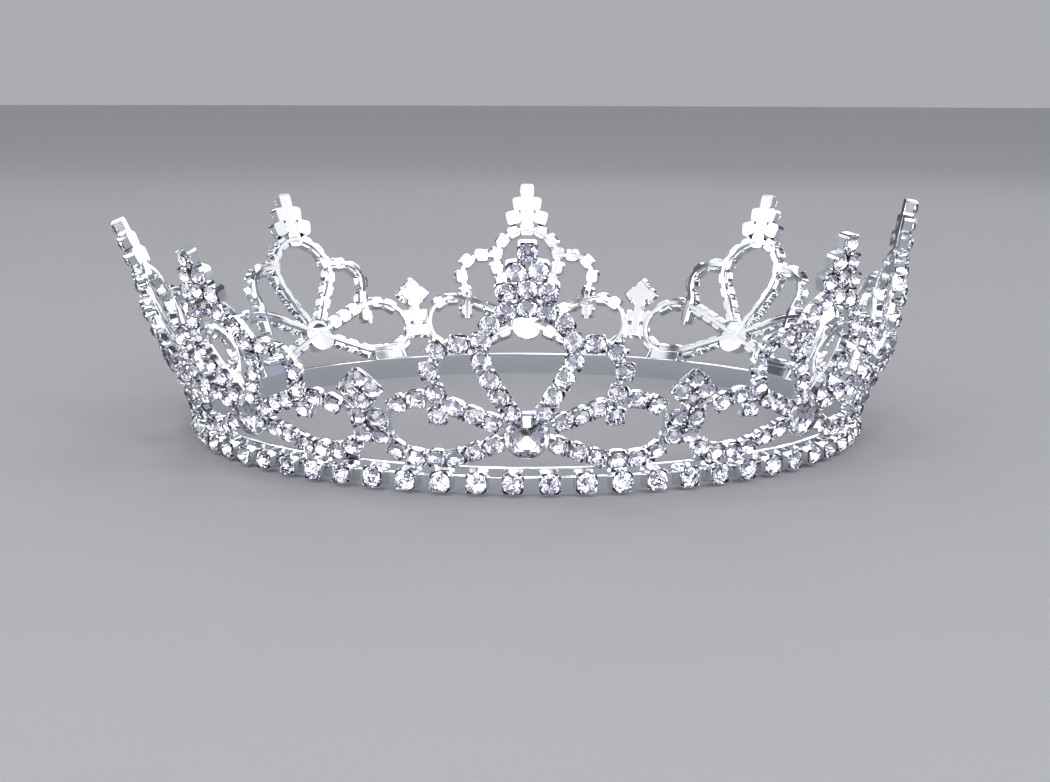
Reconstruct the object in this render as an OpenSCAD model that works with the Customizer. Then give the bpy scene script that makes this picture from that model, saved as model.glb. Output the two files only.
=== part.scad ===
// Rhinestone crown, in millimetres. The band rests on the plane Z = 0 with its axis on Z.
// Azimuth 0 is the front, on -Y, and grows towards +X. Peak 1 is the front peak and the
// numbers run on in that direction. Cluster 1 stands between peaks 1 and 2.
//
// Every peak is drawn flat first. u runs across the peak, positive to the right seen from
// outside, and v runs up its slanting face. Depth d is measured outwards from the smooth
// inner side of the metal strips.

/* [Band] */
// Inner radius of the plain band
band_in_r = 58.9; // [56:0.1:62]
// Thickness of the band's wall
band_wall = 0.8; // [0.6:0.1:1.2]
// Height of the band
band_h = 4.45; // [4:0.05:5]
// Stones round the band
band_stones_n = 67; // [60:1:74]
// Azimuth of the first stone of the band
band_stone_az = 3.4; // [0:0.1:5]
// Width of a square cup on the band
band_cup_w = 3.5; // [3.2:0.1:3.8]
// Height of the cup's centre above the floor
band_cup_z = 2.15; // [2:0.05:2.4]
// Radius of the outer face of the band's cups
band_cup_out_r = 61.6; // [61:0.1:62.5]
// Bore radius in a cup of the band
band_pocket_r = 1.5; // [1.3:0.05:1.6]
// Radius at which the bore of a band cup ends
band_pocket_floor_r = 60.15; // [60:0.05:60.5]
// Height of the bar that links the band's cups
link_h = 0.6; // [0.4:0.1:1]
// Height of that bar's middle above the floor
link_z = 2.85; // [2.4:0.05:3.2]

/* [Peak face] */
// Radius of the inner face where it starts
hinge_r = 58.75; // [58:0.05:60]
// Height where the inner face starts
hinge_z = 3.8; // [3.4:0.05:4.2]
// Lean of the lower part of every peak, from the vertical
low_lean = 25; // [20:1:28]
// Distance up the face where the upper part starts
bend_v = 15; // [13:0.5:17]
// Outer depth that the flat drawing belongs to
face_d = 2.75; // [2.4:0.05:3]

/* [Metal] */
// Width of the smooth metal strips
strip_w = 2.3; // [2:0.1:2.6]
// Thickness of the strips
strip_t = 0.7; // [0.5:0.05:0.9]
// Width of a square cup on a peak
cup_w = 2.95; // [2.8:0.05:3.1]
// Depth where the cups start, inside the strip
cup_d0 = 0.5; // [0.4:0.05:0.65]
// Depth of the rim of the cups
cup_d1 = 1.8; // [1.6:0.05:2.3]
// Bore radius in a cup of a peak
pocket_r = 1.3; // [1.2:0.05:1.35]
// Depth where the bore of a cup ends
pocket_d = 0.85; // [0.8:0.05:1.1]
// Depth where the bore of a cluster's cup ends
cluster_pocket_d = 1.2; // [1.15:0.05:1.4]

/* [Teardrop loop] */
// Height of the round part's centre on the face
tear_v = 22.2; // [20:0.1:23]
// Radius of the round part, to the strip's middle line
tear_r = 7.15; // [6.8:0.05:7.8]
// Height of the pointed end on the face
tear_foot_v = 7.8; // [7.4:0.1:8.2]
// Distance along the strip from that end to the first stone
tear_first = 5.0; // [4.6:0.1:5.2]
// Stones up each side, below the one at the top
tear_side_n = 7; // [6:1:8]

/* [Leaf loops] */
// Radius of the outer round end
leaf_end_r = 5.5; // [4.8:0.05:5.6]
// Distance across to the centre of the outer round end
leaf_end_u = 16.9; // [16.8:0.05:17.6]
// Height of that centre on the face
leaf_end_v = 8.6; // [7.7:0.1:8.8]
// Distance along the lower strand to its first stone
leaf_low_first = 4.3; // [3.7:0.05:4.4]
// Distance along the upper strand to its first stone
leaf_up_first = 4.6; // [3.7:0.05:4.7]
// Step between stones on the lower strand
leaf_low_step = 3.2; // [3.1:0.05:3.4]
// Step between stones on the upper strand
leaf_up_step = 3.1; // [3:0.05:3.3]
// Gap between the band's top edge and the loop soldered above it
leaf_gap = 0.1; // [0.05:0.05:0.2]

/* [Big stones] */
// Height of the big stone's centre on the face
big_v = 7.6; // [7.2:0.1:8]
// Outer radius of its round setting
big_set_r = 3.6; // [3.3:0.1:3.7]
// Bore radius of its setting
big_pocket_r = 3.3; // [2.8:0.05:3.4]
// Depth of the rim of the setting
big_rim_d = 2.1; // [2:0.1:3]
// Angle by which the setting stands more upright than the face
big_tip = 13; // [0:1:20]
// Radius of the big stone
big_stone_r = 3.2; // [2.6:0.05:3.2]

/* [Small stones] */
// Radius of a stone on a peak
stone_r = 1.18; // [1:0.02:1.2]
// Radius of a stone on the band
band_stone_r = 1.38; // [1.2:0.02:1.4]

/* [Hidden] */
peaks_n = 8;
turn_step = 360 / peaks_n;
band_out_r = band_in_r + band_wall;
band_step = 360 / band_stones_n;

// The peaks as each was bent and soldered by hand. The rise lengthens a peak between its
// big stone and its teardrop loop's middle, or shortens it where it is negative.
// Columns: [azimuth of the peak, lean of its upper part from the vertical, rise]
peak_table = [
    [0, 16, 0],
    [45, 13, -0.9],
    [90, 11, 1.1],
    [135, 19, -0.5],
    [180, 13, 0],
    [225, 21, -0.3],
    [270, 25, -1.0],
    [315, 24, -1.8],
];

// Distances up the face between which a peak's rise is taken up
rise_v0 = 5;
rise_v1 = 22;

// The stones of the finial above the teardrop loop.
// Columns: [u, v, turn in its own plane]
finial_table = [
    [0, 29.35, 0],
    [0, 32.3, 0],
    [3.2, 31.9, -14],
    [-3.2, 31.9, 14],
    [1.7, 35.05, -9],
    [-1.7, 35.05, 9],
    [0, 38.0, 0],
];

// The plain strips behind the finial.
// Columns: [left u, right u, lower v, upper v]
finial_strip_table = [
    [-1.15, 1.15, 28.4, 39.2],
    [-4.2, 4.2, 30.8, 33.0],
    [-2.8, 2.8, 33.9, 36.1],
];

// Distance along the right ear's strip to each of its stones
ear_stops = [2.2, 6.3, 10.0, 13.7, 17.4];

// Which steps of a leaf's two strands hold a stone: the ear crosses the upper one
leaf_low_steps = [0, 1, 2, 3, 4, 5];
leaf_up_steps = [0, 1, 2, 4, 5];

// The cups of a cluster.
// Columns: [u, v, turn in its own plane]
cluster_table = [
    [0, 17.55, 45],
    [2.1, 15.45, 45],
    [-2.1, 15.45, 45],
    [0, 13.35, 45],
    [1.55, 10.4, 0],
    [-1.55, 10.4, 0],
    [1.55, 7.0, 0],
    [-1.55, 7.0, 0],
];

// The plain metal behind a cluster.
// Columns: [half width, lower v, upper v, turn in its own plane]
cluster_back_table = [
    [0.85, 5.8, 13.6, 0],
    [2.2, 13.25, 17.65, 45],
];

// Where a peak's drawing comes to lie on its face once its rise is taken up.
function risen(v, rise) =
    v + rise * min(1, max(0, (v - rise_v0) / (rise_v1 - rise_v0)));

// Points on a slanting face: the radius and height on its inner side, and its lean,
// which a cup that sits across the bend takes half from each part.
function in_r(up, v) =
    hinge_r + min(v, bend_v) * sin(low_lean) + max(0, v - bend_v) * sin(up);
function in_z(up, v) =
    hinge_z + min(v, bend_v) * cos(low_lean) + max(0, v - bend_v) * cos(up);
function lean_at(up, v) =
    low_lean + (up - low_lean) * min(1, max(0, (v - bend_v) / cup_w + 0.5));
function wall_pt(up, v, d) =
    let (lean = v <= bend_v ? low_lean : up)
    [in_r(up, v) + d * cos(lean), in_z(up, v) - d * sin(lean)];
function bend_pt(up, d) =
    let (low_n = [cos(low_lean), -sin(low_lean)],
         up_n = [cos(up), -sin(up)])
    [in_r(up, bend_v), in_z(up, bend_v)] + d * (low_n + up_n) / (1 + low_n * up_n);
function turn_at(up, u, v) = asin(u / (in_r(up, v) + face_d * cos(low_lean)));

// The point of a peak under u, v of the drawing in the middle of the strips, seen flat
// along the direction in which the drawing is pushed through the face.
function seen(up, rise, u, v) =
    let (aim = aim_of(up),
         high = risen(v, rise),
         w = wall_pt(up, high, strip_t / 2),
         turn = turn_at(up, u, high))
    [w[0] * sin(turn), w[0] * cos(turn) * sin(aim) + w[1] * cos(aim)];
function aim_of(up) = up + 0.3 * (low_lean - up);

// Paths in the drawing, and a walk along one that gives a point and a direction.
function arc(cu, cv, r, a0, a1, n) =
    [for (i = [0:n]) let (a = a0 + (a1 - a0) * i / n) [cu + r * cos(a), cv + r * sin(a)]];
function walk(path, s, i = 0) =
    let (step = path[i + 1] - path[i],
         l = norm(step))
    (i >= len(path) - 2 || s <= l)
        ? [(path[i] + step * s / l)[0], (path[i] + step * s / l)[1], atan2(step[1], step[0])]
        : walk(path, s - l, i + 1);
function beside(path, i, off) =
    let (a = path[max(0, i - 1)],
         b = path[min(len(path) - 1, i + 1)],
         t = (b - a) / norm(b - a))
    path[i] + off * [-t[1], t[0]];

tear_h = tear_v - tear_foot_v;
tear_a = asin(tear_r / tear_h);
tear_line = sqrt(tear_h * tear_h - tear_r * tear_r);
tear_len = tear_line + tear_r * (90 + tear_a) * PI / 180;
tear_step = (tear_len - tear_first) / tear_side_n;
tear_path = concat([[0, tear_foot_v]], arc(0, tear_v, tear_r, -tear_a, 93, 12));

leaf_low_path = concat(
    [[1.2, 7.6]],
    arc(13.2, 8.1, 5.1, 247, 257, 1),
    arc(leaf_end_u, leaf_end_v, leaf_end_r, 266, 363, 8));
leaf_up_path = concat(
    [[1.2, 8.4]],
    arc(13.2, 8.1, 5.1, 113, 107, 1),
    arc(leaf_end_u, leaf_end_v, leaf_end_r, 97, -3, 8));
ear_path = concat(
    [[13.75, 9.0], [13.8, 15.0]],
    arc(10.6, 19.1, 4.35, -25, 90, 8),
    [[7.0, 23.45]]);

// The lower edge of a leaf loop follows the band's top edge, to which it is soldered.
// Columns: [left u, right u, lower v, upper v]
sole_v = (band_h + leaf_gap - hinge_z + strip_t * sin(low_lean)) / cos(low_lean);
sole = [13.2, 19.4, sole_v, 3.2];

function mirrored(rows) = [for (q = rows) [-q[0], q[1], -q[2]]];
tear_right = [for (i = [0:tear_side_n - 1]) walk(tear_path, tear_first + i * tear_step)];
leaf_right = concat(
    [for (i = leaf_low_steps) walk(leaf_low_path, leaf_low_first + i * leaf_low_step)],
    [for (i = leaf_up_steps) walk(leaf_up_path, leaf_up_first + i * leaf_up_step)]);
ear_right = [for (s = ear_stops) walk(ear_path, s)];
stone_rows = concat(tear_right, mirrored(tear_right), finial_table);
side_rows = concat(leaf_right, mirrored(leaf_right), ear_right, mirrored(ear_right));

// A strip of even width along a path, as it is seen along the aim.
module strip(up, rise, path, side) {
    n = len(path) - 1;
    left = [for (i = [0:n]) let (q = beside(path, i, strip_w / 2))
        seen(up, rise, side * q[0], q[1])];
    right = [for (i = [n:-1:0]) let (q = beside(path, i, -strip_w / 2))
        seen(up, rise, side * q[0], q[1])];
    polygon(concat(left, right));
}

module plate(up, rise, row) {
    polygon([
        seen(up, rise, row[0], row[2]),
        seen(up, rise, row[1], row[2]),
        seen(up, rise, row[1], row[3]),
        seen(up, rise, row[0], row[3]),
    ]);
}

// The strip's thickness of a face, all round.
module sheet(up) {
    rotate_extrude($fn = 180)
        polygon([
            wall_pt(up, -2, 0),
            bend_pt(up, 0),
            wall_pt(up, 42, 0),
            wall_pt(up, 42, strip_t),
            bend_pt(up, strip_t),
            wall_pt(up, -2, strip_t),
        ]);
}

// Pushes a flat drawing through the front of the face.
module push(up) {
    rotate([90 + aim_of(up), 0, 0])
        translate([0, 0, 36])
            linear_extrude(height = 50)
                children();
}

// Puts its children on the face at u, v, turned in their own plane, with +Z outwards.
module on_face(up, rise, q) {
    high = risen(q[1], rise);
    rotate([0, 0, turn_at(up, q[0], high)])
        translate([0, -in_r(up, high), in_z(up, high)])
            rotate([90 + lean_at(up, high), 0, 0])
                rotate([0, 0, q[2]])
                    children();
}

module cup(d0, floor_d) {
    difference() {
        translate([-cup_w / 2, -cup_w / 2, d0])
            cube([cup_w, cup_w, cup_d1 - d0]);
        translate([0, 0, floor_d])
            cylinder(r = pocket_r, h = 3, $fn = 32);
    }
}

// The round setting of the big stone, with a wide prong folded over it at the top.
module big_setting() {
    fold = 41;
    difference() {
        translate([0, 0, 0.2])
            cylinder(r = big_set_r, h = big_rim_d - 0.2, $fn = 48);
        translate([0, 0, pocket_d])
            cylinder(r = big_pocket_r, h = 4, $fn = 48);
    }
    // Columns: [turn of the prong round the setting, its height above the rim]
    for (prong = [[0, 0.5], [90, 0.3], [180, 0.3], [270, 0.3]])
        rotate([0, 0, prong[0]])
            translate([-0.5, big_pocket_r + 0.02, big_rim_d - 0.6])
                cube([1.0, big_set_r - big_pocket_r - 0.06, 0.6 + prong[1]]);
    translate([0, big_set_r - 0.21, big_rim_d - 0.05])
        rotate([180 - fold, 0, 0])
            translate([-0.6, 0, -0.35])
                cube([1.2, 2.1, 0.35]);
}

module peak_metal(up, rise) {
    union() {
        intersection() {
            sheet(up);
            push(up) {
                for (side = [-1, 1]) {
                    strip(up, rise, tear_path, side);
                    strip(up, rise, leaf_low_path, side);
                    strip(up, rise, leaf_up_path, side);
                    strip(up, rise, ear_path, side);
                }
                for (row = finial_strip_table)
                    plate(up, rise, row);
                plate(up, rise, sole);
                plate(up, rise, [-sole[1], -sole[0], sole[2], sole[3]]);
                translate(seen(up, rise, 0, big_v))
                    circle(r = big_set_r - 0.1, $fn = 48);
            }
        }
        difference() {
            for (q = concat(stone_rows, side_rows))
                on_face(up, rise, q)
                    cup(cup_d0, pocket_d);
            on_face(up, rise, [0, big_v, 0])
                rotate([-big_tip, 0, 0])
                    translate([0, 0, pocket_d])
                        cylinder(r = big_pocket_r, h = 4, $fn = 48);
        }
        on_face(up, rise, [0, big_v, 0])
            rotate([-big_tip, 0, 0])
                big_setting();
    }
}

module peak(k) {
    row = peak_table[k - 1];
    color([0.78, 0.79, 0.82])
    rotate([0, 0, row[0]])
        peak_metal(row[1], row[2]);
}

module cluster(k) {
    color([0.72, 0.73, 0.77])
    rotate([0, 0, (k - 0.5) * turn_step])
    union() {
        for (row = cluster_back_table)
            on_face(low_lean, 0, [0, (row[1] + row[2]) / 2, row[3]])
                translate([-row[0], -(row[2] - row[1]) / 2, 0.1])
                    cube([2 * row[0], row[2] - row[1], cup_d0 + 0.5]);
        for (q = cluster_table)
            on_face(low_lean, 0, q)
                cup(strip_t + 0.12, cluster_pocket_d);
    }
}

module band() {
    color([0.80, 0.81, 0.84])
    union() {
        rotate_extrude($fn = 180)
            translate([band_in_r, 0])
                square([band_wall, band_h]);
        rotate_extrude($fn = 180)
            translate([band_out_r - 0.1, link_z - link_h / 2])
                square([0.8, link_h]);
        for (i = [0:band_stones_n - 1])
            rotate([0, 0, band_stone_az + i * band_step])
                translate([0, 0, band_cup_z])
                    rotate([90, 0, 0])
                        difference() {
                            translate([-band_cup_w / 2, -band_cup_w / 2, band_out_r - 0.2])
                                cube([band_cup_w, band_cup_w, band_cup_out_r - band_out_r + 0.2]);
                            translate([0, 0, band_pocket_floor_r])
                                cylinder(r = band_pocket_r, h = 3, $fn = 32);
                        }
    }
}

// A cut stone with its point at the origin and its flat table on top: n facets below the
// girdle and n above it.
module cut_stone(r, table_r, below, above, n) {
    pts = concat(
        [[0, 0, 0]],
        [for (i = [0:n - 1]) let (a = 360 * i / n) [r * cos(a), r * sin(a), below]],
        [for (i = [0:n - 1]) let (a = 360 * i / n)
            [table_r * cos(a), table_r * sin(a), below + above]]);
    faces = concat(
        [for (i = [0:n - 1]) [0, 1 + i, 1 + (i + 1) % n]],
        [for (i = [0:n - 1]) [1 + i, 1 + n + i, 1 + n + (i + 1) % n, 1 + (i + 1) % n]],
        [[for (i = [n - 1:-1:0]) 1 + n + i]]);
    polyhedron(points = pts, faces = faces, convexity = 2);
}

module peak_stones(k) {
    row = peak_table[k - 1];
    color([0.86, 0.90, 1.0])
    rotate([0, 0, row[0]])
        for (q = stone_rows)
            on_face(row[1], row[2], q)
                translate([0, 0, pocket_d + 0.14])
                    cut_stone(stone_r, 0.7, 0.8, 0.6, 8);
}

module big_stone(k) {
    row = peak_table[k - 1];
    color([0.80, 0.86, 1.0])
    rotate([0, 0, row[0]])
        on_face(row[1], row[2], [0, big_v, 0])
            rotate([-big_tip, 0, 15])
                translate([0, 0, pocket_d + 0.15])
                    cut_stone(big_stone_r, 1.85, 1.0, 1.15, 12);
}

module band_stones() {
    color([0.86, 0.90, 1.0])
    for (i = [0:band_stones_n - 1])
        rotate([0, 0, band_stone_az + i * band_step])
            translate([0, -band_pocket_floor_r - 0.15, band_cup_z])
                rotate([90, 0, 0])
                    cut_stone(band_stone_r, 0.85, 0.95, 0.7, 8);
}

band();
band_stones();
peak(1);  // peak_1
peak(2);  // peak_2
peak(3);  // peak_3
peak(4);  // peak_4
peak(5);  // peak_5
peak(6);  // peak_6
peak(7);  // peak_7
peak(8);  // peak_8
cluster(1);  // cluster_1
cluster(2);  // cluster_2
cluster(3);  // cluster_3
cluster(4);  // cluster_4
cluster(5);  // cluster_5
cluster(6);  // cluster_6
cluster(7);  // cluster_7
cluster(8);  // cluster_8
big_stone(1);  // big_stone_1
big_stone(2);  // big_stone_2
big_stone(3);  // big_stone_3
big_stone(4);  // big_stone_4
big_stone(5);  // big_stone_5
big_stone(6);  // big_stone_6
big_stone(7);  // big_stone_7
big_stone(8);  // big_stone_8
peak_stones(1);  // peak_stones_1
peak_stones(2);  // peak_stones_2
peak_stones(3);  // peak_stones_3
peak_stones(4);  // peak_stones_4
peak_stones(5);  // peak_stones_5
peak_stones(6);  // peak_stones_6
peak_stones(7);  // peak_stones_7
peak_stones(8);  // peak_stones_8
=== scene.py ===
"""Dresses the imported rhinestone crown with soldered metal, claw cups and cut stones.

Every piece is modelled in millimetres, flat or round its own middle. A matrix or the
bend of the peak's face then puts it in its place, in metres, in the frame of the CAD.
"""

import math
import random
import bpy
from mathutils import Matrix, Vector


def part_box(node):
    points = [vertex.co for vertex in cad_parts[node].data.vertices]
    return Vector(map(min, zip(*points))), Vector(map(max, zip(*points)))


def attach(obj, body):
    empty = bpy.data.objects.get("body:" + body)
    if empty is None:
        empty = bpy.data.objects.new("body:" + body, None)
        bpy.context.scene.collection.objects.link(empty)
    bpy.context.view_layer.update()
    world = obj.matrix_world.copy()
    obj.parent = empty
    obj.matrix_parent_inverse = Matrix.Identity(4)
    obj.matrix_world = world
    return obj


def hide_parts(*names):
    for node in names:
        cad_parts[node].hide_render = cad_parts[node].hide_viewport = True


bl_info = {
    "name": "Rhinestone crown",
    "version": (1, 0, 0),
    "blender": (4, 5, 0),
    "location": "View3D > Sidebar > Crown",
    "description": "Models the metal, the cups and the cut stones of an openwork crown",
    "category": "Add Mesh",
}

import bmesh
import bpy
from bpy.props import FloatProperty, FloatVectorProperty, IntProperty, PointerProperty
from mathutils import Matrix, Vector

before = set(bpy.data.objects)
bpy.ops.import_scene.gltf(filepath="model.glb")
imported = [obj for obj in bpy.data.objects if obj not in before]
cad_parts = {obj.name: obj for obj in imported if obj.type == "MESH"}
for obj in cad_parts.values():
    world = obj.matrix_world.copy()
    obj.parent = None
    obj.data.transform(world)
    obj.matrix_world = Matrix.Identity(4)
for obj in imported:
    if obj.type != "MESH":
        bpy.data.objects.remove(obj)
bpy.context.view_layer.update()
MM = 0.001

# Sizes that the frame gives, in millimetres
BAND_H = (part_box("band")[1][2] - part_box("band")[0][2]) / MM
BAND_CUP_OUT_R = (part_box("band")[1][0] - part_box("band")[0][0]) / 2 / MM

# The peaks, at even turns from the front
PEAKS = 8
TURN = math.tau / PEAKS

# Each peak from the front round: lean of its upper part from the vertical in degrees, and
# by how many millimetres it is longer or shorter than the drawing. The difference comes in
# between RISE_FROM and RISE_TO, which are heights in the drawing.
PEAK_FORMS = ((16, 0.0), (13, -0.9), (11, 1.1), (19, -0.5),
              (13, 0.0), (21, -0.3), (25, -1.0), (24, -1.8))
RISE_FROM = 5.0
RISE_TO = 22.0

# The face that the peaks lie on, on its smooth inner side
HINGE_R = 58.75
HINGE_Z = 3.8
LOW_LEAN = math.radians(25)
BEND_V = 15.0
BEND_SPAN = 3.0
FACE_D = 2.75

# The drawing of a peak: u across, v up the face, in millimetres. An arc is the u and v of
# its centre and its radius.
TEAR_V = 22.2
TEAR_R = 7.15
TEAR_FOOT_V = 7.8
TEAR_TOP = 93
LEAF_ROOT = (13.2, 8.1, 5.1)
LEAF_END = (16.9, 8.6, 5.5)
EAR_START = ((13.75, 9.0), (13.8, 15.0))
EAR_ARC = (10.6, 19.1, 4.35)
EAR_ARC_TURN = (-25, 90)
EAR_END = (7.0, 23.45)
BIG_V = 7.6

# The strands of the right leaf: start, degrees about its root, degrees about its end
LEAF_LOW = ((1.2, 7.6), (247, 257), (266, 363))
LEAF_UP = ((1.2, 8.4), (113, 107), (97, -3))

# How far along its strand each cup sits. The steps that a leaf leaves out are covered by
# the cups of the ear.
TEAR_FIRST = 5.0
TEAR_SIDE_N = 7
LEAF_LOW_FIRST = 4.3
LEAF_UP_FIRST = 4.6
LEAF_LOW_STEP = 3.2
LEAF_UP_STEP = 3.1
LEAF_LOW_STEPS = (0, 1, 2, 3, 4, 5)
LEAF_UP_STEPS = (0, 1, 2, 4, 5)
EAR_STOPS = (2.2, 6.3, 10.0, 13.7, 17.4)

# Cups above the teardrop loop: u, v, turn in degrees
FINIAL_CUPS = (
    (0.0, 29.35, 0),
    (0.0, 32.3, 0),
    (3.2, 31.9, -14),
    (-3.2, 31.9, 14),
    (1.7, 35.05, -9),
    (-1.7, 35.05, 9),
    (0.0, 38.0, 0),
)

# Plain plates: left u, right u, lower v, upper v, depth of their inner side
FINIAL_STRIPS = (
    (-1.15, 1.15, 28.4, 39.3, 0.0),
    (-3.5, 3.5, 30.9, 33.0, 0.24),
    (-2.2, 2.2, 34.1, 36.0, 0.24),
)
SOLE = (12.6, 19.8, 0.72, 3.2, 0.06)
CLUSTER_STEM = (-0.85, 0.85, 5.8, 13.6, 0.2)
CLUSTER_STEM_OUT = 1.1

# The square plate behind the upper four cups of a cluster: v, depth, width, thickness
CLUSTER_BACK = (15.45, 0.6, 4.4, 1.0)

# By how much each strand is thinner on both sides, so that no two faces coincide
LEAF_LOW_INSET = 0.02
LEAF_UP_INSET = 0.03
EAR_INSET = 0.05

# The steps that a strip is drawn in, and its eased edges
PATH_STEP = 0.7
STRIP_EDGE = 0.13

# Cups of a cluster: u, v, turn in degrees
CLUSTER_CUPS = (
    (0.0, 17.55, 45),
    (2.1, 15.45, 45),
    (-2.1, 15.45, 45),
    (0.0, 13.35, 45),
    (1.55, 10.4, 0),
    (-1.55, 10.4, 0),
    (1.55, 7.0, 0),
    (-1.55, 7.0, 0),
)

# Depths of the cups and stones on a peak, from the inner side of the strips
CUP_BACK = 0.45
FINIAL_CUP_BACK = 0.04
CLUSTER_CUP_BACK = 0.84
CUP_RIM = 1.52
GIRDLE_D = 1.8
BIG_RIM = 2.1
BIG_GIRDLE_D = 2.2
BIG_TIP = math.radians(-13)

# When faces are picked: how level they lie, how near to a height in millimetres, and the
# share of a cup's half width beyond which a face is in a corner
LEVEL = 0.9
NEAR = 1e-3
CORNER_FROM = 0.7

# A cup, as shares of its width, but its floor in millimetres
CUP_CORNER = 0.2
CUP_FOOT = 0.74
FINIAL_CUP_FOOT = 0.96
CUP_LIP = 0.03
CUP_POCKET = 0.8
CUP_FLOOR = 0.08

# Its claws: height in millimetres, place and lean as shares of the cup's width, and the
# share of the height and the size of each step
CLAW = 0.62
BAND_CLAW = 0.4
CLAW_SPOT = 0.44
CLAW_LEAN = 0.055
CLAW_STEPS = ((0.55, 0.75), (0.45, 0.6))

# A stone: how many main facets and how many sides its girdle has, and its belt and table
# as shares of its radius
STONE_CUTS = 8
STONE_SIDES = 16
RICH_SIDES = 32
BELT = 0.03
TABLE = 0.30
RICH_TABLE = 0.50
STAR_REACH = 1.05

# Its inner ring of facets: radius and depth below the girdle as shares, and slope
INNER_CUTS = (0.55, 0.4, math.radians(14))

# Slopes of the facets round the table, as shares of the slope of the crown's main ones
TABLE_SLOPE = 0.92
STAR_SLOPE = 0.55
RIM_SLOPE = 1.2

# Slopes of the facets below the girdle, and of the main ones above it
PAVILION_SLOPE = math.radians(42)
PAVILION_HALF_SLOPE = math.radians(45)
PEAK_CROWN_SLOPE = math.radians(40)
BAND_CROWN_SLOPE = math.radians(38)
BIG_CROWN_SLOPE = math.radians(35)

# Depth of a stone's back below its girdle, as a share of its radius
PEAK_STONE_FOOT = 0.86
BAND_STONE_FOOT = 0.8
CLUSTER_STONE_FOOT = 0.58
BIG_STONE_FOOT = 0.55

# The foil's painted flashes in a metre, and the shares of them painted dark as painted shade and
# lilac as painted half shade
FOIL_PAINTED_FLASHES = (2900, 0.16)
RICH_FOIL_PAINTED_FLASHES = (1300, 0.05)
PAINTED_HALF_SHADE_SHARE = 0.12

# Patterns in the metal and the glass: how many clouds in a metre, and how detailed
METAL_CLOUDS = (260, 3)
METAL_SMEARS = (700, 4)
METAL_DENTS = (380, 2)
GLASS_DRIFT = (330, 1)
FLOOR_GRAIN = (40, 3)

# Between which values of its pattern, from 0 to 1, a colour or the gloss goes over
METAL_TINT = (0.3, 0.62)
METAL_GLOSS = (0.3, 0.7)
GLASS_TINT = (0.45, 0.68)

# How deep and how strong the dents are, and how bright the floor's darkest grain is
DENT_DEPTH = 0.2 * MM
DENT_STRENGTH = 0.6
FLOOR_SHADE = 0.97

# From the glossiest to the dullest roughness
METAL_ROUGH = (0.10, 0.24)
FOIL_ROUGH = (0.0, 0.30)
GLASS_IOR = 1.6

# The round setting of a big stone, in millimetres, but the floor of its pocket as a share.
# Its claws rise in steps, each with its rise and its lean over the stone.
SETTING_SIDES = 48
SETTING_LIP = 0.12
SETTING_POCKET_D = 1.9
SETTING_POCKET = 0.7
SETTING_EDGE = 0.18
DISC_SUNK = 0.15
SETTING_CLAW_STEPS = ((0.25, 0.0), (0.2, 0.15), (0.15, 0.25))

# The wide prong above it. Each step has its length, its share of the turn and its taper.
TAB_W = 1.3
TAB_T = 0.28
TAB_OUT = 0.02
TAB_IN = 0.55
TAB_EDGE = 0.06
TAB_STEPS = ((0.1, 0.5, 1.0), (0.25, 0.5, 1.0), (0.9, 0.0, 0.92), (0.8, 0.0, 0.8))
TAB_TURN = math.radians(55)

# The band's plain ring and link bar, and the height and depths of its cups and stones
HOOP_SIDES = 240
HOOP_EDGE = 0.12
BAR_LOW = 2.65
BAR_H = 0.4
BAR_OUT = 0.45
BAR_T = 0.6
BAND_CUP_Z = 2.15
BAND_CUP_SUNK = 0.1
BAND_RIM_IN = 0.5
BAND_GIRDLE = 0.2

# How far hand-set cups and stones may lean, in degrees, and the seeds of their random draws
CUP_JITTER = 1.2
STONE_JITTER = 5.0
BAND_SEED = 7
PEAK_SEED = 20
CLUSTER_SEED = 60

# Metal looks smooth below this angle, and a hoop's edges are eased above the other
SMOOTH_BELOW = math.radians(22)
HOOP_SHARP = math.radians(50)

# The camera, in millimetres and degrees, and its focal length in pixels of the photo
EYE = (-0.15, -324.54, 62.47)
EYE_DOWN = 9.834
EYE_TURN = -0.03
EYE_ROLL = 0.171
PHOTO_W = 1050
FOCUS_PX = 1747.6
SENSOR = 36.0

# Lamps: name, place, width and height, all in metres, and power in watts
LAMPS = (
    ("key", (-0.40, -0.55, 0.75), (0.12, 0.12), 0.6),
    ("glint_left", (-0.60, -0.70, 0.18), (0.08, 0.08), 0.25),
    ("glint_right", (0.55, -0.75, 0.30), (0.08, 0.08), 0.25),
    ("glint_high", (0.20, -0.35, 0.85), (0.10, 0.10), 0.3),
    ("back", (0.15, 0.80, 0.50), (0.70, 0.20), 0.8),
)

# Rows of lamps in an arc round the front: name, how many to each side, degrees between
# two, distance, height of the row, width and height of a lamp, power
LAMP_ARCS = (
    ("softbox", 2, 45, 1.05, 0.66, (0.70, 0.62), 1.35),
    ("low_front", 3, 20, 1.25, 0.27, (0.24, 0.40), 2.0),
)
LAMP_AIM = (0, 0, 0.02)
FLOOR_R = 6.0

# The studio walls: their panels' scale, brightness, and the colours by share
PANEL_SCALE = 4.5
PANEL_POWER = 3.0
PANEL_STOPS = (
    (0.0, (0.03, 0.03, 0.04)),
    (0.42, (0.14, 0.15, 0.18)),
    (0.70, (1.0, 1.0, 1.0)),
    (1.0, (1.0, 1.0, 1.0)),
)


# Sizes and colours

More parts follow.
